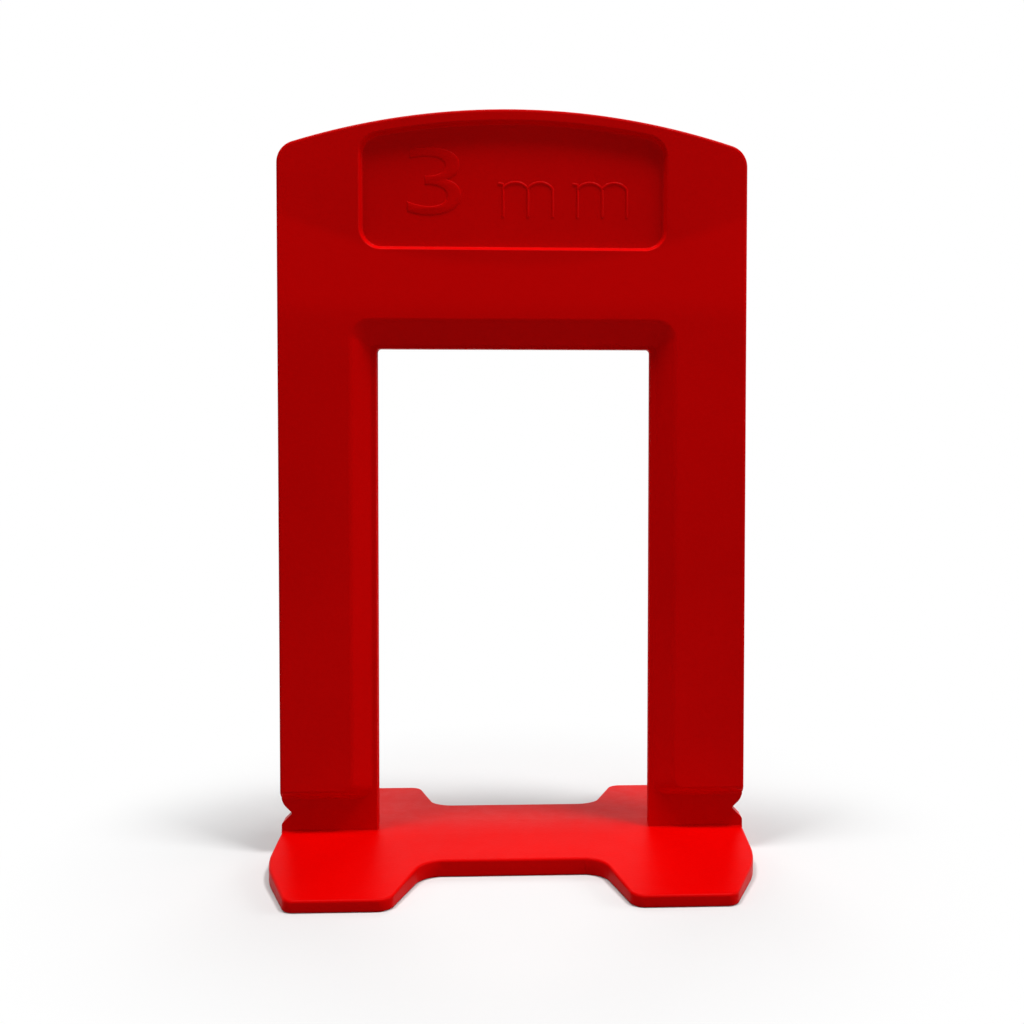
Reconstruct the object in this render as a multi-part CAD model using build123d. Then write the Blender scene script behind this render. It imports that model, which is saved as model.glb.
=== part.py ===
from build123d import *
import os
from math import radians, sqrt, tan

# Tile levelling clip, injection moulded in one piece. Sizes are in millimetres.
# The base lies under two neighbouring tiles and the upright stands in the joint between them.
# A wedge driven through the window presses the tiles level, and a kick snaps the necks.
# Origin at the centre of the underside: X across the clip, Y through the joint, Z up.

# Upright plate, seen from the front
joint_gap = 3.0
plate_width = 38.5
head_height = 19.55
crown_radius = 59.5
shoulder_radius = 1.8
plate_edge_radius = 0.25

# Thin core of the upright: it shows as a strip round the window and as the necks
core_thickness = 1.4
side_strip = 0.43
top_strip = 0.32

# Window for the wedge, and the slopes from the thick pads down to the core
window_width = 22.65
window_height = 40.0
window_corner_radius = 0.3
side_slope = 1.55
top_slope = 2.0
slope_corner_radius = 1.6

# Necks that break off, with a V-notch in each outer side
neck_height = 2.84
foot_slope = 0.5
foot_corner_radius = 0.9
notch_rise = 1.48
notch_depth = 0.88
notch_angle = 90.0
notch_upper_radius = 1.15
notch_lower_radius = 0.3
notch_root_radius = 0.12
neck_root_radius = 0.12

# Sunken panel in the head, on both faces
panel_width = 25.2
panel_height = 10.5
panel_rim = 0.95
panel_depth = 0.5
panel_wall_run = 0.22
panel_corner_radius = 1.8

# Base, seen from above: two tabs at each side, joined by a narrower bar under the window
base_depth = 26.0
side_flat = 13.5
tab_end_width = 33.4
tab_gap = 18.0
bar_depth = 13.1
bar_width = 14.1
side_bend_radius = 9.0
tab_outer_radius = 0.9
tab_inner_radius = 1.2
bar_corner_radius = 2.0

# Base, seen from the side: thickest under the upright and thinner towards its free edges
ridge_thickness = 1.8
edge_thickness = 0.97
ridge_radius = 30.0
base_edge_radius = 0.2

# Places that follow from the sizes above
window_top = ridge_thickness + window_height
plate_height = window_top + head_height
neck_top = ridge_thickness + neck_height
notch_middle = ridge_thickness + notch_rise
crown_centre = plate_height - crown_radius
panel_bottom = plate_height - panel_rim - panel_height
pad_thickness = (joint_gap - core_thickness) / 2
past = 1.0
same_place = 0.001


def corners(sketch, x, y):
    """The vertices of a symmetric sketch at x and y, on every side of the middle."""
    near = [abs(abs(v.X) - x) + abs(abs(v.Y) - y) < same_place for v in sketch.vertices()]
    return [v for v, hit in zip(sketch.vertices(), near) if hit]


def rounded(sketch, places):
    """A symmetric sketch with the corner at each (x, y) rounded to its radius."""
    for (x, y), radius in places:
        sketch = fillet(corners(sketch, x, y), radius)
    return sketch


def arc_height(radius, x):
    """Height at x of an arc about the crown's centre."""
    return crown_centre + sqrt(radius**2 - x**2)


def crowned_face(points, radius):
    """Face inside the points from the lower left to the upper right, closed by an arc over the top."""
    last_x, last_y = points[-1]
    sides = Polyline(*points)
    crown = ThreePointArc((last_x, last_y), (0, crown_centre + radius), (-last_x, last_y))
    return make_face(sides + crown)


def upright_blank():
    """The upright at its full thickness, with its notched sides, crowned top and soft edges."""
    half = plate_width / 2
    shoulder = arc_height(crown_radius, half)
    notch_half = notch_depth * tan(radians(notch_angle / 2))
    side = [
        (half, 0),
        (half, notch_middle - notch_half),
        (half - notch_depth, notch_middle),
        (half, notch_middle + notch_half),
        (half, shoulder),
    ]
    mirrored = [(-x, y) for x, y in reversed(side)]
    outline = crowned_face(mirrored + side, crown_radius)
    outline = rounded(
        outline,
        [
            ((half, notch_middle - notch_half), notch_lower_radius),
            ((half - notch_depth, notch_middle), notch_root_radius),
            ((half, notch_middle + notch_half), notch_upper_radius),
            ((half, shoulder), shoulder_radius),
        ],
    )
    blank = extrude(Plane.XZ * outline, joint_gap / 2, both=True)
    rims = blank.faces().sort_by(Axis.Y)
    soft = [e for face in (rims[0], rims[-1]) for e in face.edges() if e.center().Z > same_place]
    return fillet(soft, plate_edge_radius)


def relief_outline(level):
    """What is cut from one face beside the pads. Level 0 is the core's face, and 1 the pad's face."""
    outer = plate_width / 2 + past
    inner = window_width / 2 + side_strip + side_slope * level
    foot = neck_top + foot_slope * level
    top = window_top + top_strip + top_slope * level
    half = [(outer, -past), (outer, foot), (inner, foot), (inner, top)]
    outline = Polygon(*half, *[(-x, y) for x, y in reversed(half)], align=None)
    window_corner = window_corner_radius + (slope_corner_radius - window_corner_radius) * level
    return rounded(outline, [((inner, foot), foot_corner_radius), ((inner, top), window_corner)])


def panel_outline(level):
    """Outline of the sunken panel. Level 0 is its floor, and 1 the pad's face."""
    inset = panel_wall_run * (1 - level)
    half = panel_width / 2 - inset
    radius = crown_radius - panel_rim - inset
    bottom = panel_bottom + inset
    shoulder = arc_height(radius, half)
    outline = crowned_face([(-half, shoulder), (-half, bottom), (half, bottom), (half, shoulder)], radius)
    corner = panel_corner_radius - inset
    return rounded(outline, [((half, bottom), corner), ((half, shoulder), corner)])


def sloped_cut(outline, floor, depth):
    """Cutter with sloped walls, from a floor at y = -floor out past the front face."""
    beyond = 1 + past / depth
    inner = Plane.XZ.offset(floor) * outline(0)
    outer = Plane.XZ.offset(floor + depth + past) * outline(beyond)
    return loft([inner.face(), outer.face()], ruled=True)


def window_cut():
    """Cutter for the window. It runs on below the base's top, which closes the window."""
    height = window_top + past
    outline = Pos(0, window_top - height / 2) * Rectangle(window_width, height)
    outline = rounded(outline, [((window_width / 2, window_top), window_corner_radius)])
    return extrude(Plane.XZ * outline, joint_gap, both=True)


def upright():
    """The upright with its pads, necks, window and sunken panels."""
    relief = sloped_cut(relief_outline, core_thickness / 2, pad_thickness)
    panel = sloped_cut(panel_outline, joint_gap / 2 - panel_depth, panel_depth)
    both_faces = [cut for front in (relief, panel) for cut in (front, mirror(front, Plane.XZ))]
    return upright_blank() - both_faces - window_cut()


def base_section():
    """The base seen along X: flat below, and sloping from its ridge to its free edges above."""
    half = base_depth / 2
    outline = Polygon(
        (-half, 0), (half, 0), (half, edge_thickness), (0, ridge_thickness), (-half, edge_thickness), align=None
    )
    return rounded(outline, [((0, ridge_thickness), ridge_radius)])


def base_plan():
    """The base seen from above: tabs with tapered outer sides, and the bar between them."""
    quarter = [
        (plate_width / 2, side_flat / 2),
        (tab_end_width / 2, base_depth / 2),
        (tab_gap / 2, base_depth / 2),
        (bar_width / 2, bar_depth / 2),
    ]
    half = quarter + [(-x, y) for x, y in reversed(quarter)]
    outline = Polygon(*half, *[(-x, -y) for x, y in half], align=None)
    radii = [side_bend_radius, tab_outer_radius, tab_inner_radius, bar_corner_radius]
    return rounded(outline, zip(quarter, radii))


def base():
    """The base with its rim softened above and below."""
    wedge = extrude(Plane.YZ * base_section(), plate_width, both=True)
    body = extrude(base_plan(), ridge_thickness + past) & wedge
    rim = [e for e in body.edges() if abs(e.tangent_at(0.5).Z) < 0.9 and abs(e.center().X) > same_place]
    return fillet(rim, base_edge_radius)


def neck_roots():
    """The hollow curves at the foot of each neck, where it grows out of the base."""
    height = ridge_thickness + neck_root_radius
    neck = Pos(0, height / 2) * Rectangle(core_thickness, height)
    foot = [v for v in (base_section() + neck).vertices() if edge_thickness < v.Y < height - same_place]
    foot = [v for v in foot if abs(abs(v.X) - core_thickness / 2) < same_place]
    section = fillet(foot, neck_root_radius)
    section = section & (Pos(0, height / 2) * Rectangle(core_thickness + 2 * neck_root_radius, height))
    width = (plate_width - window_width) / 2
    middle = (plate_width + window_width) / 4
    root = extrude(Plane.YZ * section, width / 2, both=True)
    return [Pos(side * middle, 0, 0) * root for side in (-1, 1)]


levelling_clip = upright() + base() + neck_roots()

os.makedirs("parts", exist_ok=True)
export_step(levelling_clip, "parts/levelling_clip.step")
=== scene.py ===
# %% [markdown]
# A tile levelling clip in red moulded plastic, modelled by hand.
# The clip stands on its base. Its upright goes in the joint between two tiles, a wedge is driven
# through the window, and when the adhesive has set a kick breaks the thin necks above the base.
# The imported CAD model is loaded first, and it is the measure for all that follows: the hand-made
# piece has to have the same size, stand in the same place and stay inside the same box.

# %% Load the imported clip
import math

import bmesh
import bpy
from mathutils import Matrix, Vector


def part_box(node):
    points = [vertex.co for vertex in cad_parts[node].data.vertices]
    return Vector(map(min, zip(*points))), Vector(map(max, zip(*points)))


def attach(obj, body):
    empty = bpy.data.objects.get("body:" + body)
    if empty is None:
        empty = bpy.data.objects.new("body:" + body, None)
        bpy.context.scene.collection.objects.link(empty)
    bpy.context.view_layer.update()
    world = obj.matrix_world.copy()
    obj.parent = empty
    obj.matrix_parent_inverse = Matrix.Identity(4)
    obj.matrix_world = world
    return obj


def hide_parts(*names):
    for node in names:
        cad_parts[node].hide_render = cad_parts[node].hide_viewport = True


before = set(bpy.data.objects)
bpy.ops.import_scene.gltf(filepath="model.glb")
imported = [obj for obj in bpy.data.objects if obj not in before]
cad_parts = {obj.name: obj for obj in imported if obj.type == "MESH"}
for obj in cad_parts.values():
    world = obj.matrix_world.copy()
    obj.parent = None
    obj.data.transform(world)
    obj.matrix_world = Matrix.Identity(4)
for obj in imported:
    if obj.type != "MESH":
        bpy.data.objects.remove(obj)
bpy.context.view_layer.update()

mm = 0.001
low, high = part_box("levelling_clip")
plate_width, base_depth, plate_height = [(high[i] - low[i]) / mm for i in range(3)]
print("the packed clip measures", round(plate_width, 2), round(base_depth, 2), round(plate_height, 2), "mm")

# %% [markdown]
# The camera comes first, because every later choice is judged through it.
# The photo was taken close up, from a little above the middle of the clip and almost straight on.
# A camera could be placed by eye, but the clip's straight edges give its place exactly: this one was
# found by matching the corners of the clip. The photo is cropped off centre, and the small shift
# repeats that, so that the upright keeps its true perspective.

# %% Place the camera
photo_width = 1024
focal_length_in_pixels = 1207.36
bpy.ops.object.camera_add(
    location=(0.96 * mm, -100.87 * mm, 37.26 * mm),
    rotation=(math.radians(88.132), math.radians(-0.109), math.radians(-2.540)),
)
camera = bpy.context.object
camera.name = "photo_camera"
camera.data.sensor_width = 36
camera.data.lens = focal_length_in_pixels / photo_width * camera.data.sensor_width
camera.data.shift_x = -67.05 / photo_width
camera.data.shift_y = -68.26 / photo_width
camera.data.clip_start = 1 * mm
bpy.context.scene.camera = camera
bpy.context.scene.view_settings.view_transform = "Standard"
print("lens", round(camera.data.lens, 2), "mm")

# %% [markdown]
# The upright is a flat plate, so it is drawn as an outline and then given its thickness.
# A plane could be cut to shape, but a mould maker draws a clip with straight runs and arcs, and
# Blender can do the same: a single vertex is the pen, an extrude draws a straight run and a spin
# draws an arc about its centre. Every arc is then as round as it should be, with no point placed
# by eye.

# %% Drawing tools
merge_distance = 0.001 * mm


def start_clean():
    """Leaves edit mode and deselects everything, because an operator acts on all that is selected."""
    if bpy.context.object and bpy.context.object.mode == "EDIT":
        bpy.ops.object.mode_set(mode="OBJECT")
    bpy.ops.object.select_all(action="DESELECT")


def new_drawing(name):
    """An empty mesh object in edit mode, to draw in."""
    start_clean()
    bpy.ops.mesh.primitive_plane_add(size=1 * mm)
    bpy.context.object.name = name
    bpy.ops.object.mode_set(mode="EDIT")
    bpy.ops.mesh.delete(type="VERT")
    return bpy.context.object


def pen_down(x, y, z):
    """Adds one selected vertex to the drawing, at a place in millimetres."""
    bpy.ops.mesh.select_mode(type="VERT")
    bpy.ops.mesh.select_all(action="DESELECT")
    bpy.ops.mesh.primitive_plane_add(size=1 * mm, location=(x * mm, y * mm, z * mm))
    bpy.ops.mesh.merge(type="CENTER")


def pen_place():
    """Where the selected vertex is, in millimetres."""
    mesh = bmesh.from_edit_mesh(bpy.context.object.data)
    return next(v.co for v in mesh.verts if v.select) / mm


def line_to(x, z):
    """Extrudes the pen's vertex in a straight run."""
    here = pen_place()
    run = ((x - here.x) * mm, 0, (z - here.z) * mm)
    bpy.ops.mesh.extrude_region_move(TRANSFORM_OT_translate={"value": run})


def arc(centre_x, centre_z, degrees, steps):
    """Spins the pen's vertex about a centre, clockwise as the camera sees it."""
    centre = (centre_x * mm, pen_place().y * mm, centre_z * mm)
    bpy.ops.mesh.spin(steps=steps, angle=math.radians(degrees), center=centre, axis=(0, -1, 0))


def close_outline(start_x, start_z):
    """Draws the last run and merges its end with the first vertex."""
    line_to(start_x, start_z)
    bpy.ops.mesh.select_all(action="SELECT")
    bpy.ops.mesh.remove_doubles(threshold=merge_distance)


print("the pen works in millimetres, and", mm, "turns them into Blender's metres")

# %% [markdown]
# An operator acts on all that is selected. By hand, parts of a mesh are picked with the mouse. Here
# they are picked in code, by where they lie or how far they turn, so that the same faces and edges
# are found on every run. Two lengths from a drawing are rarely equal to the last digit, so they are
# compared within a small reach.

# %% Picking tools
default_reach = 0.02


def pick(kind, test):
    """Selects, in edit mode, the vertices, edges or faces that pass a test."""
    bpy.ops.mesh.select_mode(type=kind)
    bpy.ops.mesh.select_all(action="DESELECT")
    mesh = bmesh.from_edit_mesh(bpy.context.object.data)
    group = {"VERT": mesh.verts, "EDGE": mesh.edges, "FACE": mesh.faces}[kind]
    picked = [part for part in group if test(part)]
    for part in picked:
        part.select_set(True)
    mesh.select_flush_mode()
    bmesh.update_edit_mesh(bpy.context.object.data)
    return len(picked)


def near(a, b, reach=default_reach):
    """True where two lengths in millimetres are the same, within a small reach."""
    return abs(a - b) < reach


print("lengths count as the same within", default_reach, "mm")

# %% [markdown]
# The upright has straight sides, small round shoulders and a crown that is a slice of a large
# circle. The sunken panel in the head has the same kind of outline, so one function draws both. The
# crown could be a curve bent by eye, but the arcs meet smoothly only where their centres are worked
# out: the centre of a shoulder lies on the line from the crown's centre to the point where they meet.

# %% Draw a crowned outline
crown_radius = 59.5
half_width = plate_width / 2
crown_centre = plate_height - crown_radius


def crowned_outline(y, bottom, half, radius, corner, side=()):
    """An outline with straight sides and a crown that meets them in round corners."""
    centre_x = half - corner
    centre_z = crown_centre + math.sqrt((radius - corner) ** 2 - centre_x**2)
    lean = math.degrees(math.asin(centre_x / (radius - corner)))
    pen_down(-half, y, bottom)
    for x, z in side:
        line_to(-x, z)
    line_to(-half, centre_z)
    arc(-centre_x, centre_z, 90 - lean, steps=10)
    arc(0, crown_centre, 2 * lean, steps=36)
    arc(centre_x, centre_z, 90 - lean, steps=10)
    for x, z in reversed(side):
        line_to(x, z)
    line_to(half, bottom)
    close_outline(-half, bottom)


print("the crown's centre lies", round(crown_centre, 2), "mm above the ground")

# %% [markdown]
# Near each foot the sides of the upright have a V-notch. A kick on the head breaks the clip there.
# The notches are drawn with sharp corners, and a vertex bevel then rounds each corner, which is less
# work than three more arcs a side. The front and the back of the clip are alike, so only the front
# half is modelled, and mirrored at the end.

# %% Draw the upright
joint_gap = 3.0
shoulder_radius = 1.8
buried_foot = 1.0
notch_middle = 3.28
notch_depth = 0.88
notch_turn = 45
notch_foot_radius, notch_tip_radius, notch_head_radius = 0.3, 0.12, 1.15
pad_face = -joint_gap / 2


def round_corner(x, z, radius, turn=90, steps=8):
    """Rounds the drawn corners at x and z, on both sides, where the outline turns by so many degrees."""
    pick("VERT", lambda v: near(abs(v.co.x) / mm, x) and near(v.co.z / mm, z))
    tangent = radius * math.tan(math.radians(turn / 2))
    bpy.ops.mesh.bevel(affect="VERTICES", offset=tangent * mm, segments=steps, clamp_overlap=False)


def fill_outline(y):
    """Fills the closed outline that lies at a depth y with one face, and leaves it selected."""
    pick("EDGE", lambda e: all(near(v.co.y / mm, y) for v in e.verts))
    bpy.ops.mesh.edge_face_add()


def pull_out(depth):
    """Extrudes what is selected along y, and turns all faces outwards."""
    bpy.ops.mesh.extrude_region_move(TRANSFORM_OT_translate={"value": (0, depth * mm, 0)})
    bpy.ops.mesh.select_all(action="SELECT")
    bpy.ops.mesh.normals_make_consistent(inside=False)


lower, upper = notch_middle - notch_depth, notch_middle + notch_depth
notch = ((half_width, lower), (half_width - notch_depth, notch_middle), (half_width, upper))
upright = new_drawing("moulded_clip")
crowned_outline(pad_face, buried_foot, half_width, crown_radius, shoulder_radius, notch)
round_corner(half_width, lower, notch_foot_radius, notch_turn)
round_corner(half_width - notch_depth, notch_middle, notch_tip_radius)
round_corner(half_width, upper, notch_head_radius, notch_turn)
fill_outline(pad_face)
pull_out(joint_gap / 2)
print("the upright's blank has", len(bmesh.from_edit_mesh(upright.data).verts), "vertices")

# %% [markdown]
# The rim of the plate isn't sharp: the steel of a mould is cut with a round tool, and sharp plastic
# edges would hurt the hand. The rim is bevelled before anything is cut into the plate, while it
# is still one simple ring of edges.

# %% Soften the rim
rim_radius = 0.25


def on_front_rim(edge):
    """True for the front edges of the plate, apart from the buried one."""
    ends = [v.co / mm for v in edge.verts]
    return all(near(p.y, pad_face) for p in ends) and not all(near(p.z, buried_foot) for p in ends)


pick("EDGE", on_front_rim)
bpy.ops.mesh.bevel(offset=rim_radius * mm, segments=4, clamp_overlap=False)
start_clean()

# %% [markdown]
# What the mould leaves hollow could be modelled face by face. It is easier to make a solid of the
# hollow's shape and to take it out of the plate with a boolean, as a milling cutter would. A cutter
# with sloped walls is a loft: two closed outlines at two depths, bridged to each other and closed at
# both ends. Each cutter stands out of the face that it cuts, so that no two faces lie in one plane.

# %% Lofting and cutting tools
past = 1.0


def loft(y_one, y_two):
    """Bridges two outlines that lie at two depths, and closes both ends."""
    bpy.ops.mesh.select_mode(type="EDGE")
    bpy.ops.mesh.select_all(action="SELECT")
    bpy.ops.mesh.bridge_edge_loops()
    fill_outline(y_one)
    fill_outline(y_two)
    bpy.ops.mesh.select_all(action="SELECT")
    bpy.ops.mesh.normals_make_consistent(inside=False)


def combine(piece, other, operation):
    """Applies a boolean of two pieces to the first, and removes the second."""
    start_clean()
    bpy.context.view_layer.objects.active = piece
    piece.select_set(True)
    step = piece.modifiers.new("boolean", "BOOLEAN")
    step.object = other
    step.operation = operation
    step.solver = "EXACT"
    bpy.ops.object.modifier_apply(modifier=step.name)
    bpy.data.objects.remove(other)


def cut(piece, cutter):
    """Takes the cutter out of the piece, and the cutter out of the scene."""
    combine(piece, cutter, "DIFFERENCE")


print("the cutters stand out of the plate by", past, "mm or more")

# %% [markdown]
# The pads of the plate are as thick as the joint, but the core round the window and at the necks
# is thin, so that the wedge slides and the necks break. A narrow ledge of the core runs round the
# window, and sloped walls lead from it to the pads. Their corners are tight at the core and wide at
# the pads, which no bevel makes, so this cutter is a loft. Its outline is drawn twice, once at the
# core and once out in the air before the plate.

# %% Cut the relief
core_face = -0.7
window_width = 22.65
window_top = 41.8
neck_top = 4.64
side_ledge, side_run = 0.43, 1.55
top_ledge, top_run = 0.32, 2.0
foot_run = 0.5
top_corner, top_corner_growth = 0.3, 1.3
foot_corner = 0.9


def relief_outline(y, level):
    """The relief's outline. Level 0 is at the core and level 1 at the face of the pads."""
    outer = half_width + past
    inner = window_width / 2 + side_ledge + side_run * level
    foot = neck_top + foot_run * level
    top = window_top + top_ledge + top_run * level
    pen_down(-outer, y, 0)
    over_the_window = ((-outer, foot), (-inner, foot), (-inner, top), (inner, top), (inner, foot))
    for x, z in over_the_window + ((outer, foot), (outer, 0)):
        line_to(x, z)
    close_outline(-outer, 0)
    round_corner(inner, top, top_corner + top_corner_growth * level)
    round_corner(inner, foot, foot_corner)


relief = new_drawing("relief_cutter")
beyond = 1 + past / (core_face - pad_face)
relief_outline(core_face, 0)
relief_outline(pad_face - past, beyond)
loft(core_face, pad_face - past)
cut(upright, relief)
print("after the relief the upright has", len(upright.data.polygons), "faces")

# %% [markdown]
# The head carries a sunken panel for the size mark. Its wall leans a little, so that the part slips
# off the mould. An inset with depth makes just that: it draws the floor's outline inside the first
# one, the same distance in on every side, and pushes it in. The window is cut last, straight from
# front to back, because on the real clip the core that makes it is drawn straight out.

# %% Cut the panel and the window
panel_half = 12.6
panel_bottom = 49.9
panel_corner = 1.8
panel_rim = 0.95
panel_depth = 0.5
panel_wall_run = 0.22
panel_floor = pad_face + panel_depth

panel = new_drawing("panel_cutter")
crowned_outline(pad_face, panel_bottom, panel_half, crown_radius - panel_rim, panel_corner)
round_corner(panel_half, panel_bottom, panel_corner)
fill_outline(pad_face)
pull_out(-past)
pick("FACE", lambda f: all(near(v.co.y / mm, pad_face) for v in f.verts))
bpy.ops.mesh.inset(thickness=panel_wall_run * mm, depth=panel_depth * mm)
cut(upright, panel)

window = new_drawing("window_cutter")
pen_down(-window_width / 2, -joint_gap, 0)
for x, z in ((-window_width / 2, window_top), (window_width / 2, window_top), (window_width / 2, 0)):
    line_to(x, z)
close_outline(-window_width / 2, 0)
round_corner(window_width / 2, window_top, top_corner)
fill_outline(-joint_gap)
pull_out(2 * joint_gap)
cut(upright, window)
print("with panel and window the upright has", len(upright.data.polygons), "faces")

# %% [markdown]
# The foot of each neck grows out of the base in a hollow curve, or the plastic would crack there
# before the wedge is tight. A step is extruded at the foot of the neck, and its inner corner is
# bevelled, which fills the corner with the curve. The curve ends just inside the base. The neck's
# outer side stands flush with the side of the base, and two faces in one plane would confuse the
# union that joins them later, so the buried end of the neck is tucked in a little.

# %% Hollow the feet of the necks
root_bottom = 1.7
root_radius = 0.12
root_step = root_radius + 0.02
tuck = 0.3
hair = 0.01
flat_angle = math.radians(0.05)


def edit(piece):
    """Goes into edit mode on one piece."""
    start_clean()
    bpy.context.view_layer.objects.active = piece
    piece.select_set(True)
    bpy.ops.object.mode_set(mode="EDIT")


def join_flat_faces():
    """Dissolves the lines that booleans and saw cuts leave across flat faces."""
    bpy.ops.mesh.select_mode(type="EDGE")
    bpy.ops.mesh.select_all(action="SELECT")
    bpy.ops.mesh.dissolve_limited(angle_limit=flat_angle)


def on_neck_foot(face):
    """True for the front faces of the necks below the root."""
    return all(near(v.co.y / mm, core_face) and v.co.z / mm < root_bottom + hair for v in face.verts)


edit(upright)
join_flat_faces()
bpy.ops.mesh.select_all(action="SELECT")
bpy.ops.mesh.bisect(plane_co=(0, 0, root_bottom * mm), plane_no=(0, 0, 1))
print("feet of the necks", pick("FACE", on_neck_foot))
bpy.ops.mesh.extrude_region_move(TRANSFORM_OT_translate={"value": (0, -root_step * mm, 0)})
pick("EDGE", lambda e: all(near(v.co.y / mm, core_face) and near(v.co.z / mm, root_bottom) for v in e.verts))
bpy.ops.mesh.bevel(offset=root_radius * mm, segments=6, clamp_overlap=False)
pick("VERT", lambda v: near(v.co.z / mm, buried_foot) and near(abs(v.co.x) / mm, half_width))
bpy.ops.transform.resize(value=(1 - tuck / half_width, 1, 1), center_override=(0, 0, 0))
start_clean()

# %% [markdown]
# On the real clip the top edges of the slopes, their brows, are so soft that they show as a change
# of tone and not as a line. The hollow folds where the slopes under the pads meet the necks are as
# soft. All other edges keep a small rounding that catches the light. Brows and folds are bevelled
# first. After that only the crisp edges still turn by a large angle, so the last bevel finds them by
# their angle. Each group is picked by where it lies, and its number is printed as a check.

# %% Soften the edges of the upright
slope_softness = 0.22
fold_softness = 0.25
edge_softness = 0.08
crisp = math.radians(18)
brow_reach = 0.3
brow_side = window_width / 2 + side_ledge + side_run + foot_corner + 0.1
brow_top = window_top + top_ledge + top_run + 0.1
brow_foot = neck_top + foot_run + 0.16
notch_side = half_width - notch_depth - 0.1
notch_top = 5.6


def on_slope_brow(edge):
    """True for the edges where the pads turn into the slopes."""
    if edge.calc_face_angle(0) < crisp:
        return False
    ends = [v.co / mm for v in edge.verts]
    by_window = all(abs(p.x) < brow_side and p.z < brow_top for p in ends)
    by_foot = all(p.z < brow_foot for p in ends)
    return all(near(p.y, pad_face, brow_reach) for p in ends) and (by_window or by_foot)


def in_foot_fold(edge):
    """True for the hollow edges where the slopes under the pads meet the necks."""
    if edge.calc_face_angle(0) < crisp:
        return False
    return all(near(v.co.y / mm, core_face) and near(v.co.z / mm, neck_top) for v in edge.verts)


def is_crisp(edge):
    """True for the sharp edges that show, apart from the small ones in and beside the notches."""
    ends = [v.co / mm for v in edge.verts]
    above_root = all(p.z > root_bottom + root_radius - hair for p in ends)
    by_notch = all(abs(p.x) > notch_side and p.z < notch_top for p in ends)
    return above_root and not by_notch and edge.calc_face_angle(0) > crisp


edit(upright)
pick("FACE", lambda f: all(near(v.co.y / mm, 0) for v in f.verts))
bpy.ops.mesh.delete(type="FACE")
print("brow edges", pick("EDGE", on_slope_brow))
bpy.ops.mesh.bevel(offset=slope_softness * mm, segments=4, clamp_overlap=False)
print("fold edges", pick("EDGE", in_foot_fold))
bpy.ops.mesh.bevel(offset=fold_softness * mm, segments=3, clamp_overlap=False)
print("crisp edges", pick("EDGE", is_crisp))
bpy.ops.mesh.bevel(offset=edge_softness * mm, segments=3, clamp_overlap=False)
start_clean()

# %% [markdown]
# The back of the plate is the front mirrored. A mirror modifier does it, and merges the two halves
# where they meet in the middle of the thickness. A mirror can turn a shape inside out, so the
# faces are turned outwards once the two halves are one.

# %% Mirror the front to the back
def finish_with(piece, kind, **settings):
    """Adds a modifier to the piece and applies it."""
    start_clean()
    bpy.context.view_layer.objects.active = piece
    piece.select_set(True)
    step = piece.modifiers.new(kind.lower(), kind)
    for name, value in settings.items():
        setattr(step, name, value)
    bpy.ops.object.modifier_apply(modifier=step.name)


def mend(piece):
    """Merges vertices that lie on each other, and turns all faces outwards."""
    edit(piece)
    bpy.ops.mesh.select_all(action="SELECT")
    bpy.ops.mesh.remove_doubles(threshold=merge_distance)
    bpy.ops.mesh.dissolve_degenerate(threshold=merge_distance)
    bpy.ops.mesh.select_all(action="SELECT")
    bpy.ops.mesh.normals_make_consistent(inside=False)
    start_clean()


finish_with(upright, "MIRROR", use_axis=(False, True, False), merge_threshold=merge_distance)
mend(upright)
print("the whole upright has", len(upright.data.polygons), "faces")

# %% [markdown]
# The base lies under the tiles. Seen from above it is two pairs of tabs joined by a narrower bar.
# It starts as the bar, a box. The sides are extruded from its ends and the tabs from the sides,
# which is quicker than drawing an outline where most runs are straight. A few vertices are then
# moved so that the tabs taper.

# %% Block out the base
ridge_height = 1.8
edge_height = 0.97
bar_half, bar_reach = 7.05, 6.55
bend_reach = 6.75
tab_inner, tab_outer = 9.0, 16.7
tab_reach = base_depth / 2

start_clean()
bpy.ops.mesh.primitive_cube_add(
    size=1,
    location=(0, 0, ridge_height / 2 * mm),
    scale=(2 * bar_half * mm, 2 * bar_reach * mm, ridge_height * mm),
)
base = bpy.context.object
base.name = "base"
bpy.ops.object.transform_apply(location=True, rotation=True, scale=True)
bpy.ops.object.mode_set(mode="EDIT")
for side in (-1, 1):
    pick("FACE", lambda f: f.normal.x * side > 0.9)
    out = (side * (half_width - bar_half) * mm, 0, 0)
    bpy.ops.mesh.extrude_region_move(TRANSFORM_OT_translate={"value": out})
for side in (-1, 1):
    pick("FACE", lambda f: f.normal.y * side > 0.9 and abs(f.calc_center_median().x) > bar_half * mm)
    out = (0, side * (tab_reach - bar_reach) * mm, 0)
    bpy.ops.mesh.extrude_region_move(TRANSFORM_OT_translate={"value": out})


def move_corners(x, y, new_x, new_y):
    """Moves the corners at x and y, in all four quarters, to a new place."""
    pick("VERT", lambda v: near(abs(v.co.x) / mm, x) and near(abs(v.co.y) / mm, y))
    bpy.ops.transform.resize(value=(new_x / x, new_y / y, 1), center_override=(0, 0, 0))


move_corners(bar_half, tab_reach, tab_inner, tab_reach)
move_corners(half_width, tab_reach, tab_outer, tab_reach)
move_corners(half_width, bar_reach, half_width, bend_reach)
join_flat_faces()
print("the blocked-out base has", len(bmesh.from_edit_mesh(base.data).faces), "faces")

# %% [markdown]
# From the side the base is thickest under the upright and falls to both free edges, so that the
# adhesive flows round it. The top could be tilted by moving vertices, but two slanted bisects saw
# both slopes off the flat top, and fill the cut.

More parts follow.
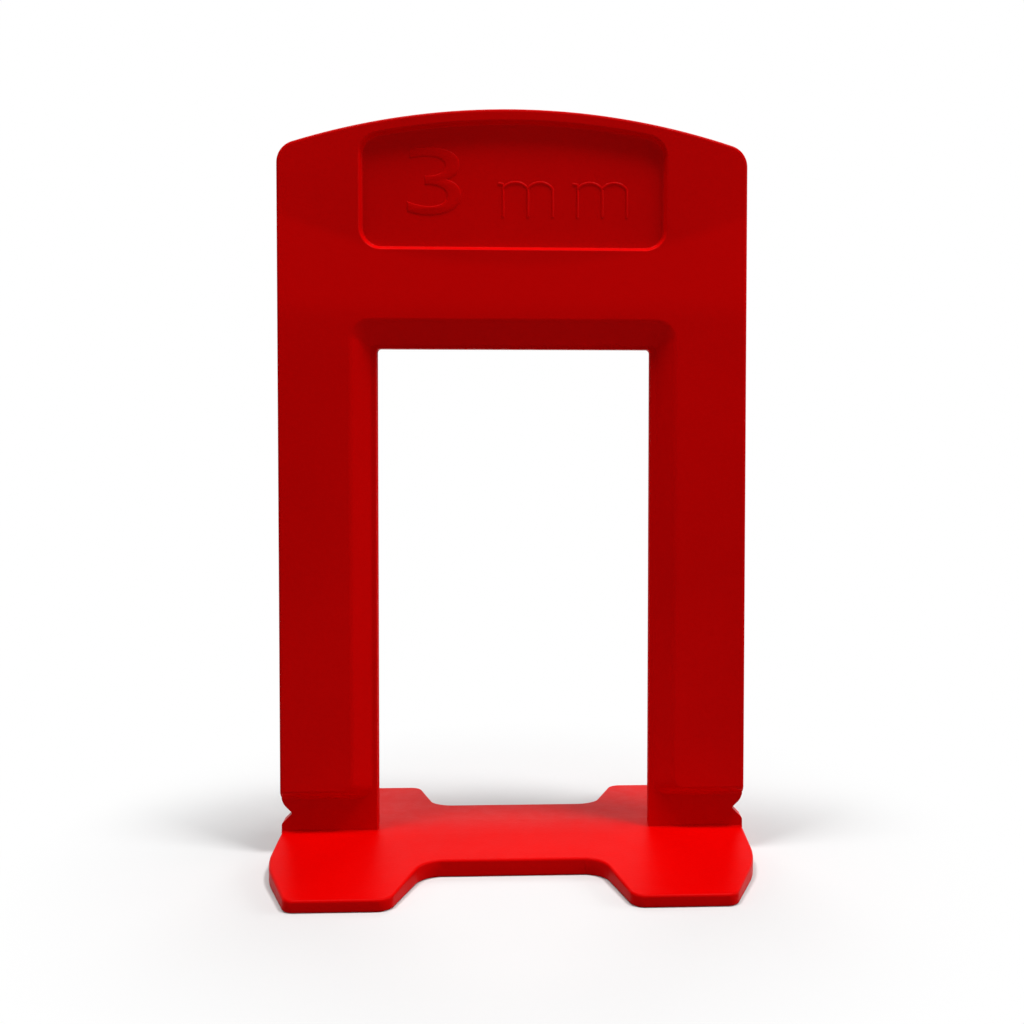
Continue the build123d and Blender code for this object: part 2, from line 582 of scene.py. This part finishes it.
# %% Saw the slopes of the base
fall = (ridge_height - edge_height) / tab_reach
for side in (-1, 1):
    bpy.ops.mesh.select_all(action="SELECT")
    bpy.ops.mesh.bisect(
        plane_co=(0, 0, ridge_height * mm), plane_no=(0, side * fall, 1), use_fill=True, clear_outer=True
    )
print("the top of the base falls by", round(math.degrees(math.atan(fall)), 1), "degrees to each side")

# %% [markdown]
# No edge of the moulded base is sharp. Its upright corners are rounded first, each by its own
# radius, then the ridge between the slopes, very wide, and the rim last, above and below, because a
# bevel follows edges that are already round.

# %% Round the base
def bevel_uprights(x, y, radius, turn, steps):
    """Rounds the upright edges at x and y, where the outline turns by so many degrees."""

    def hit(edge):
        one, other = [v.co / mm for v in edge.verts]
        return near(abs(one.x), x) and near(abs(one.y), y) and near((one - other).xy.length, 0)

    pick("EDGE", hit)
    tangent = radius * math.tan(math.radians(turn / 2))
    bpy.ops.mesh.bevel(offset=tangent * mm, segments=steps, clamp_overlap=False)


taper = math.degrees(math.atan2(half_width - tab_outer, tab_reach - bend_reach))
flare = math.degrees(math.atan2(tab_inner - bar_half, tab_reach - bar_reach))
bend_radius, outer_radius, inner_radius, bar_corner_radius = 9.0, 0.9, 1.2, 2.0
bevel_uprights(half_width, bend_reach, bend_radius, taper, steps=6)
bevel_uprights(tab_outer, tab_reach, outer_radius, 90 - taper, steps=8)
bevel_uprights(tab_inner, tab_reach, inner_radius, 90 - flare, steps=8)
bevel_uprights(bar_half, bar_reach, bar_corner_radius, 90 - flare, steps=10)

ridge_radius = 30.0
base_rim_radius = 0.2
rim_turn = math.radians(60)
steepest_rim = 0.3
pick("EDGE", lambda e: all(near(v.co.y / mm, 0) and near(v.co.z / mm, ridge_height) for v in e.verts))
bpy.ops.mesh.bevel(offset=ridge_radius * math.tan(math.atan(fall)) * mm, segments=6, clamp_overlap=False)


def on_base_rim(edge):
    """True for the edges between the upright sides and the top or the underside."""
    level = abs(edge.verts[0].co.z - edge.verts[1].co.z) < steepest_rim * edge.calc_length()
    return level and edge.calc_face_angle(0) > rim_turn


print("rim edges", pick("EDGE", on_base_rim))
bpy.ops.mesh.bevel(offset=base_rim_radius * mm, segments=4, clamp_overlap=False)
mend(base)
print("the base has", len(base.data.polygons), "faces")

# %% [markdown]
# The real clip comes out of its mould as one piece, so the upright and the base become one mesh.
# They could just stand in each other, but then a hidden wall would stay inside the plastic. A
# boolean union removes it. The new piece is shaded smooth up to sharp angles, and weighted normals
# keep the large flat faces flat beside their small rounded edges.

# %% Make the clip one piece
smooth_angle = math.radians(40)
combine(upright, base, "UNION")
clip = upright
mend(clip)
edit(clip)
join_flat_faces()
start_clean()
bpy.context.view_layer.objects.active = clip
clip.select_set(True)
bpy.ops.object.shade_smooth_by_angle(angle=smooth_angle)
finish_with(clip, "WEIGHTED_NORMAL", keep_sharp=True, weight=50)
clip_size = [round(side / mm, 2) for side in clip.dimensions]
print("the clip has", len(clip.data.polygons), "faces and measures", clip_size, "mm")

# %% [markdown]
# The mould leaves a size mark on the floor of the front panel, so that the user can tell the clips
# apart: the width of the joint, as a plain number with its unit. Both stand up from the floor by
# less than a hair's breadth, so that only their edges catch the light. They could be painted on as
# bump, but then they would be missing from the mesh. The digit is broad and flat on top, so it is a
# text object with a small bevel, made a mesh and then stretched to its width and height.

# %% Raise the digit
mark_relief = 0.035
mark_sunk = 0.06
mark_edge = 0.05
mark_baseline = 52.65
digit_left, digit_right = -8.74, -4.3
digit_bottom, digit_top = 52.75, 58.24
digit_thinning = 0.06


def apply_place(piece):
    """Moves the piece's place, turn and scale into its mesh."""
    start_clean()
    bpy.context.view_layer.objects.active = piece
    piece.select_set(True)
    bpy.ops.object.transform_apply(location=True, rotation=True, scale=True)


start_clean()
bpy.ops.object.text_add()
digit = bpy.context.object
digit.data.body = "3"
digit.data.size = (digit_top - digit_bottom) * mm
digit.data.offset = -digit_thinning * mm
digit.data.extrude = ((mark_relief + mark_sunk) / 2 - mark_edge) * mm
digit.data.bevel_depth = mark_edge * mm
digit.data.bevel_resolution = 2
digit.data.resolution_u = 16
bpy.ops.object.convert(target="MESH")
digit.rotation_euler = (math.radians(90), 0, 0)
apply_place(digit)
wide = (digit_right - digit_left) * mm / digit.dimensions.x
tall = (digit_top - digit_bottom) * mm / digit.dimensions.z
digit.scale = (wide, 1, tall)
apply_place(digit)
left_edge = min(v.co.x for v in digit.data.vertices)
lower_edge = min(v.co.z for v in digit.data.vertices)
middle_y = panel_floor - (mark_relief - mark_sunk) / 2
digit.location = (digit_left * mm - left_edge, middle_y * mm, digit_bottom * mm - lower_edge)
apply_place(digit)
print("the digit is stretched by", round(wide, 2), "and", round(tall, 2))
print("it measures", [round(side / mm, 2) for side in digit.dimensions], "mm")

# %% [markdown]
# The unit is drawn in fine lines of even width, as a mould maker cuts them with one round tool. No
# typeface has such thin strokes, so the centre line of each m is drawn with the pen. Made a curve, it
# takes a round section from the curve's bevel, and most of that lies under the panel's floor.

# %% Draw the unit
m_starts = (-0.89, 5.22)
stem_gap = 2.03
stroke_radius = 0.2
stroke_relief = 0.05
stroke_depth = panel_floor + stroke_radius - stroke_relief
stroke_top = mark_baseline + 2.8
shoulder_rise = 0.5
spur, spur_drop, spur_foot = 0.4, 0.1, 0.15


def draw_m(left):
    """Draws one m: a stem with a short spur, and two shoulders that run down into stems."""
    chord = stem_gap / 2
    radius = (chord**2 + shoulder_rise**2) / (2 * shoulder_rise)
    sweep = 2 * math.degrees(math.asin(chord / radius))
    pen_down(left - spur, stroke_depth, stroke_top - spur_drop)
    line_to(left, stroke_top - spur_foot)
    line_to(left, mark_baseline)
    for start in (left, left + stem_gap):
        pen_down(start, stroke_depth, stroke_top - shoulder_rise)
        arc(start + chord, stroke_top - radius, sweep, steps=10)
        line_to(start + stem_gap, mark_baseline)


unit = new_drawing("unit")
for left in m_starts:
    draw_m(left)
start_clean()
unit.select_set(True)
bpy.context.view_layer.objects.active = unit
bpy.ops.object.convert(target="CURVE")
unit.data.bevel_depth = stroke_radius * mm
unit.data.bevel_resolution = 4
unit.data.use_fill_caps = True
bpy.ops.object.convert(target="MESH")
print("the unit measures", [round(side / mm, 2) for side in unit.dimensions], "mm")

# %% [markdown]
# Digit and unit belong together, so they become one piece. It stays apart from the clip's own mesh:
# its strokes are fine and many, and a union would cut the panel's flat floor into slivers. Its hidden
# part is sunk into the floor, so that no gap shows under it.

# %% Join the size mark
start_clean()
unit.select_set(True)
digit.select_set(True)
bpy.context.view_layer.objects.active = digit
bpy.ops.object.join()
size_mark = digit
size_mark.name = "size_mark"
mend(size_mark)
bpy.context.view_layer.objects.active = size_mark
size_mark.select_set(True)
bpy.ops.object.shade_smooth_by_angle(angle=smooth_angle)
print("the size mark has", len(size_mark.data.polygons), "faces")

# %% [markdown]
# The clip is polypropylene, coloured red all the way through. A band of the head, between the panel
# and the window, is painted a little paler: a painted reflection, the light that the head catches there.
# It could be painted on the mesh, but that would need many more vertices. Here its place comes from
# the coordinates: Object coordinates are in metres, and soft steps in height give the band its
# borders. They sit still on the piece and have the same size everywhere.

# %% Find the band of painted reflection
band_bow = 11.0
band_top_none, band_top_full = 49.3, 48.1
band_foot_none, band_foot_full = 43.6, 46.4


def painted_reflection_band(nodes, links):
    """1 in the band of painted reflection under the panel, and 0 elsewhere. Its upper border is bowed."""
    place = nodes.new("ShaderNodeTexCoord").outputs["Object"]
    parts = nodes.new("ShaderNodeSeparateXYZ")
    links.new(place, parts.inputs["Vector"])

    def combined(operation, one, other):
        node = nodes.new("ShaderNodeMath")
        node.operation = operation
        for socket, value in zip(node.inputs, (one, other)):
            if isinstance(value, float):
                socket.default_value = value
            else:
                links.new(value, socket)
        return node.outputs["Value"]

    def soft_step(value, nothing, whole):
        node = nodes.new("ShaderNodeMapRange")
        node.interpolation_type = "SMOOTHSTEP"
        node.inputs["From Min"].default_value = nothing * mm
        node.inputs["From Max"].default_value = whole * mm
        links.new(value, node.inputs["Value"])
        return node.outputs["Result"]

    bow = combined("MULTIPLY", combined("MULTIPLY", parts.outputs["X"], parts.outputs["X"]), band_bow)
    bowed = combined("SUBTRACT", parts.outputs["Z"], bow)
    below = soft_step(bowed, band_top_none, band_top_full)
    above = soft_step(parts.outputs["Z"], band_foot_none, band_foot_full)
    return combined("MULTIPLY", below, above)


print("the paler band lies between", band_foot_none, "and", band_top_none, "mm above the ground")

# %% [markdown]
# The window is made by a core of the mould that is drawn out between its side walls, and they look
# duller than the rest. It shows as dark inner edges where shiny walls would mirror the white behind
# them. A second material could be given to their faces, but it would repeat all the rest, so the
# walls too are found by their place: at half the window's width, above the base and below the head.

# %% Find the window's side walls
wall_reach = 0.09


def on_window_walls(nodes, links):
    """1 on the two side walls of the window, and 0 elsewhere."""
    place = nodes.new("ShaderNodeTexCoord").outputs["Object"]
    parts = nodes.new("ShaderNodeSeparateXYZ")
    links.new(place, parts.inputs["Vector"])

    def node_for(operation, value, *limits):
        node = nodes.new("ShaderNodeMath")
        node.operation = operation
        links.new(value, node.inputs[0])
        for socket, limit in zip(node.inputs[1:], limits):
            socket.default_value = limit * mm
        return node

    across = node_for("ABSOLUTE", parts.outputs["X"]).outputs["Value"]
    by_wall = node_for("COMPARE", across, window_width / 2, wall_reach).outputs["Value"]
    over_base = node_for("GREATER_THAN", parts.outputs["Z"], ridge_height + 0.2).outputs["Value"]
    under_head = node_for("LESS_THAN", parts.outputs["Z"], window_top + 0.1).outputs["Value"]
    for limit in (over_base, under_head):
        product = node_for("MULTIPLY", by_wall)
        links.new(limit, product.inputs[1])
        by_wall = product.outputs["Value"]
    return by_wall


print("the window's walls stand", round(window_width / 2, 2), "mm from the middle")

# %% [markdown]
# The skin of the clip is neither glossy nor quite matt: the mould's steel is finely eroded, and the
# plastic copies that grain. Where it flowed and cooled unevenly it has large, faint, soft blotches.
# A flat red would look like a drawing. Blotches and grain could come from a picture wrapped round the
# piece, but noise needs no picture and no unwrapping. A noise hardly ever leaves the middle of its
# range, so that middle part is spread over the range that is wanted.

# %% Make noise for the skin
noise_low, noise_high = 0.3, 0.7
blotch_scale, gloss_scale, grain_scale, bump_scale = 70, 900, 4500, 5000
grain_share = 0.3
dark_red, light_red = 0.555, 0.635


def noise(nodes, links, scale, detail):
    """Noise on the piece's Object coordinates, with so many features to the metre."""
    node = nodes.new("ShaderNodeTexNoise")
    node.inputs["Scale"].default_value = scale
    node.inputs["Detail"].default_value = detail
    links.new(nodes.new("ShaderNodeTexCoord").outputs["Object"], node.inputs["Vector"])
    return node.outputs["Fac"]


def spread(nodes, links, value, low, high):
    """Spreads the middle part of a noise over a range."""
    node = nodes.new("ShaderNodeMapRange")
    node.inputs["From Min"].default_value = noise_low
    node.inputs["From Max"].default_value = noise_high
    node.inputs["To Min"].default_value = low
    node.inputs["To Max"].default_value = high
    links.new(value, node.inputs["Value"])
    return node.outputs["Result"]


def red_blotches(nodes, links):
    """A red that varies in large soft blotches and in fine grain."""
    both = nodes.new("ShaderNodeMix")
    both.inputs["Factor"].default_value = grain_share
    links.new(noise(nodes, links, blotch_scale, 3), both.inputs["A"])
    links.new(noise(nodes, links, grain_scale, 2), both.inputs["B"])
    reds = nodes.new("ShaderNodeValToRGB")
    for stop, position, red in zip(reds.color_ramp.elements, (noise_low, noise_high), (dark_red, light_red)):
        stop.position = position
        stop.color = (red, 0, 0, 1)
    links.new(both.outputs["Result"], reds.inputs["Fac"])
    return reds.outputs["Color"]


print("the blotches are about", round(1000 / blotch_scale), "mm wide")
print("the grain is about", round(1000 / grain_scale, 1), "mm wide")

# %% [markdown]
# The finish puts it all together: the blotches give the colour, and a painted reflection pales the band.
# Noise at a third scale varies the gloss, and the window's walls are duller. A bump gives the grain
# its relief, finer than any mesh could. The white glint is set low, because the red has to stay a
# deep red even where the clip mirrors the white background.

# %% Mix the red plastic
# The paler red of the painted reflection in the head.
reflection_red = 0.67
skin_smoothest, skin_roughest = 0.34, 0.42
wall_roughness = 0.7
grain_height = 0.018


def red_plastic_finish():
    """Red moulded polypropylene with blotches, a paler band, a fine grain and dull window walls."""
    finish = bpy.data.materials.new("red_plastic")
    finish.use_nodes = True
    nodes, links = finish.node_tree.nodes, finish.node_tree.links
    skin = nodes["Principled BSDF"]
    skin.inputs["Specular IOR Level"].default_value = 0.022

    # Painted reflection: the band in the head gets a paler red, for the light that the head catches there.
    paler = nodes.new("ShaderNodeMix")
    paler.data_type = "RGBA"
    paler.inputs["B"].default_value = (reflection_red, 0, 0, 1)
    links.new(painted_reflection_band(nodes, links), paler.inputs["Factor"])
    links.new(red_blotches(nodes, links), paler.inputs["A"])
    links.new(paler.outputs["Result"], skin.inputs["Base Color"])

    dull = nodes.new("ShaderNodeMix")
    dull.inputs["B"].default_value = wall_roughness
    links.new(on_window_walls(nodes, links), dull.inputs["Factor"])
    gloss = noise(nodes, links, gloss_scale, 2)
    links.new(spread(nodes, links, gloss, skin_smoothest, skin_roughest), dull.inputs["A"])
    links.new(dull.outputs["Result"], skin.inputs["Roughness"])

    grain = nodes.new("ShaderNodeBump")
    grain.inputs["Strength"].default_value = 0.6
    grain.inputs["Distance"].default_value = grain_height * mm
    links.new(noise(nodes, links, bump_scale, 3), grain.inputs["Height"])
    links.new(grain.outputs["Normal"], skin.inputs["Normal"])
    return finish


red_plastic = red_plastic_finish()
for piece in (clip, size_mark):
    piece.data.materials.clear()
    piece.data.materials.append(red_plastic)
print("the finish has", len(red_plastic.node_tree.nodes), "nodes")

# %% [markdown]
# A white surround made with light alone would wash out the clip. So the floor and the world are
# white only to the rays that see them: those of the camera, and those that come back to it from a
# reflection or through glass. The rays that carry light to the clip meet something darker.

# %% Tell the rays apart
def rays_that_see(nodes, links):
    """1 for the camera's rays and for those seen in a reflection or through glass, and 0 for the rest."""
    path = nodes.new("ShaderNodeLightPath")
    seen = path.outputs["Is Camera Ray"]
    for kind in ("Is Glossy Ray", "Is Transmission Ray"):
        either = nodes.new("ShaderNodeMath")
        either.operation = "MAXIMUM"
        links.new(seen, either.inputs[0])
        links.new(path.outputs[kind], either.inputs[1])
        seen = either.outputs["Value"]
    return seen


print("white shows to camera rays, and in reflections and glass")

# %% [markdown]
# The photo was taken on white, so the floor is pale and plain. To the camera, and in reflections, it
# is lit like paper and keeps the clip's shadow, and away from the clip it turns into the white of the
# background, so no horizon shows. The light that it throws back is that of a mid grey: under the real
# clip lay something darker than paper, because the sloped wall over the window, which faces down, is
# the darkest of all.

# %% Lay the floor
floor_size = 2000
grey_level, paper_level = 0.35, 0.64
shadow_reach, white_from = 17, 42


def floor_finish():
    """Paper white where it is seen, with the shadow kept near the clip, and grey where it only lights."""
    finish = bpy.data.materials.new("paper_floor")
    finish.use_nodes = True
    nodes, links = finish.node_tree.nodes, finish.node_tree.links
    nodes.remove(nodes["Principled BSDF"])
    out = nodes["Material Output"]
    grey = nodes.new("ShaderNodeBsdfDiffuse")
    grey.inputs["Color"].default_value = (grey_level, grey_level, grey_level, 1)
    paper = nodes.new("ShaderNodeBsdfDiffuse")
    paper.inputs["Color"].default_value = (paper_level, paper_level, paper_level, 1)
    white = nodes.new("ShaderNodeEmission")
    distance = nodes.new("ShaderNodeVectorMath")
    distance.operation = "LENGTH"
    links.new(nodes.new("ShaderNodeTexCoord").outputs["Object"], distance.inputs[0])
    fade = nodes.new("ShaderNodeMapRange")
    fade.interpolation_type = "SMOOTHSTEP"
    fade.inputs["From Min"].default_value = shadow_reach * mm
    fade.inputs["From Max"].default_value = white_from * mm
    links.new(distance.outputs["Value"], fade.inputs["Value"])
    seen = nodes.new("ShaderNodeMixShader")
    links.new(fade.outputs["Result"], seen.inputs["Fac"])
    links.new(paper.outputs["BSDF"], seen.inputs[1])
    links.new(white.outputs["Emission"], seen.inputs[2])
    choice = nodes.new("ShaderNodeMixShader")
    links.new(rays_that_see(nodes, links), choice.inputs["Fac"])
    links.new(grey.outputs["BSDF"], choice.inputs[1])
    links.new(seen.outputs["Shader"], choice.inputs[2])
    links.new(choice.outputs["Shader"], out.inputs["Surface"])
    return finish


start_clean()
bpy.ops.mesh.primitive_plane_add(size=floor_size * mm)
floor = bpy.context.object
floor.name = "floor"
floor.data.materials.append(floor_finish())
print("the floor is", floor_size, "mm wide")

# %% [markdown]
# The light is soft and comes from above. The shadows in the photo tell where from: both legs throw a
# shadow across the bar of the base, and both run slantwise to the back. So the two main softboxes
# hang high up at both sides, the right one the stronger, and the upper wall of the panel throws a
# shadow on its floor. A lamp behind the clip lights the top of the base. Three wide ones stand low,
# one in front and one at each side: they reach under the pads, and the right one makes the left
# leg's slope the brightest. A lamp's level says how bright it makes a surface that faces it: at 1
# such a surface shows its own colour.

# %% Hang the lamps
lamp_distance = 500
aim = Vector((0, 0, 20)) * mm


def softbox(name, azimuth, elevation, width, depth, level):
    """An area lamp aimed at the clip, its sides in mm. The azimuth counts from the front to the right."""
    turn, rise = math.radians(azimuth), math.radians(elevation)
    away = Vector((math.sin(turn) * math.cos(rise), -math.cos(turn) * math.cos(rise), math.sin(rise)))
    away *= lamp_distance * mm
    start_clean()
    bpy.ops.object.light_add(type="AREA", location=aim + away)
    lamp = bpy.context.object
    lamp.name = name
    lamp.data.shape = "RECTANGLE"
    lamp.data.size = width * mm
    lamp.data.size_y = depth * mm
    lamp.rotation_euler = away.to_track_quat("Z", "Y").to_euler()
    lamp.data.energy = level * math.pi**2 * away.length_squared
    return lamp


softbox("right_softbox", 60, 69, 90, 90, 0.69)
softbox("left_softbox", -62, 74, 100, 100, 0.56)
softbox("back_softbox", 180, 50, 300, 220, 0.29)
softbox("front_softbox", 0, 20, 380, 220, 0.065)
softbox("right_fill", 85, 20, 300, 180, 0.39)
softbox("left_fill", -70, 20, 300, 180, 0.08)

# %% [markdown]
# The world is the white background. The camera sees it, and so do reflections: the bar of the base
# mirrors the white behind the window, while the tabs in front of the legs mirror the red legs, and
# that is why the bar looks paler. On its own it lights the clip hardly at all.

# %% Light the world
world_level = 0.02


def studio_world():
    """White where it is seen, and almost dark to all other rays."""
    world = bpy.data.worlds.new("studio")
    world.use_nodes = True
    nodes, links = world.node_tree.nodes, world.node_tree.links
    backdrop = nodes["Background"]
    backdrop.inputs["Color"].default_value = (1, 1, 1, 1)
    level = nodes.new("ShaderNodeMix")
    level.inputs["A"].default_value = world_level
    level.inputs["B"].default_value = 1.0
    links.new(rays_that_see(nodes, links), level.inputs["Factor"])
    links.new(level.outputs["Result"], backdrop.inputs["Strength"])
    return world


bpy.context.scene.world = studio_world()
print("the world is", bpy.context.scene.world.name)

# %% [markdown]
# Both pieces ride on the only body that the imported clip has. The hand-made clip stands for the CAD
# solid in every picture, and the solid stays for the physics.

# %% Tie the pieces to the frame
for piece in (clip, size_mark):
    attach(piece, "root")
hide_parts("levelling_clip")
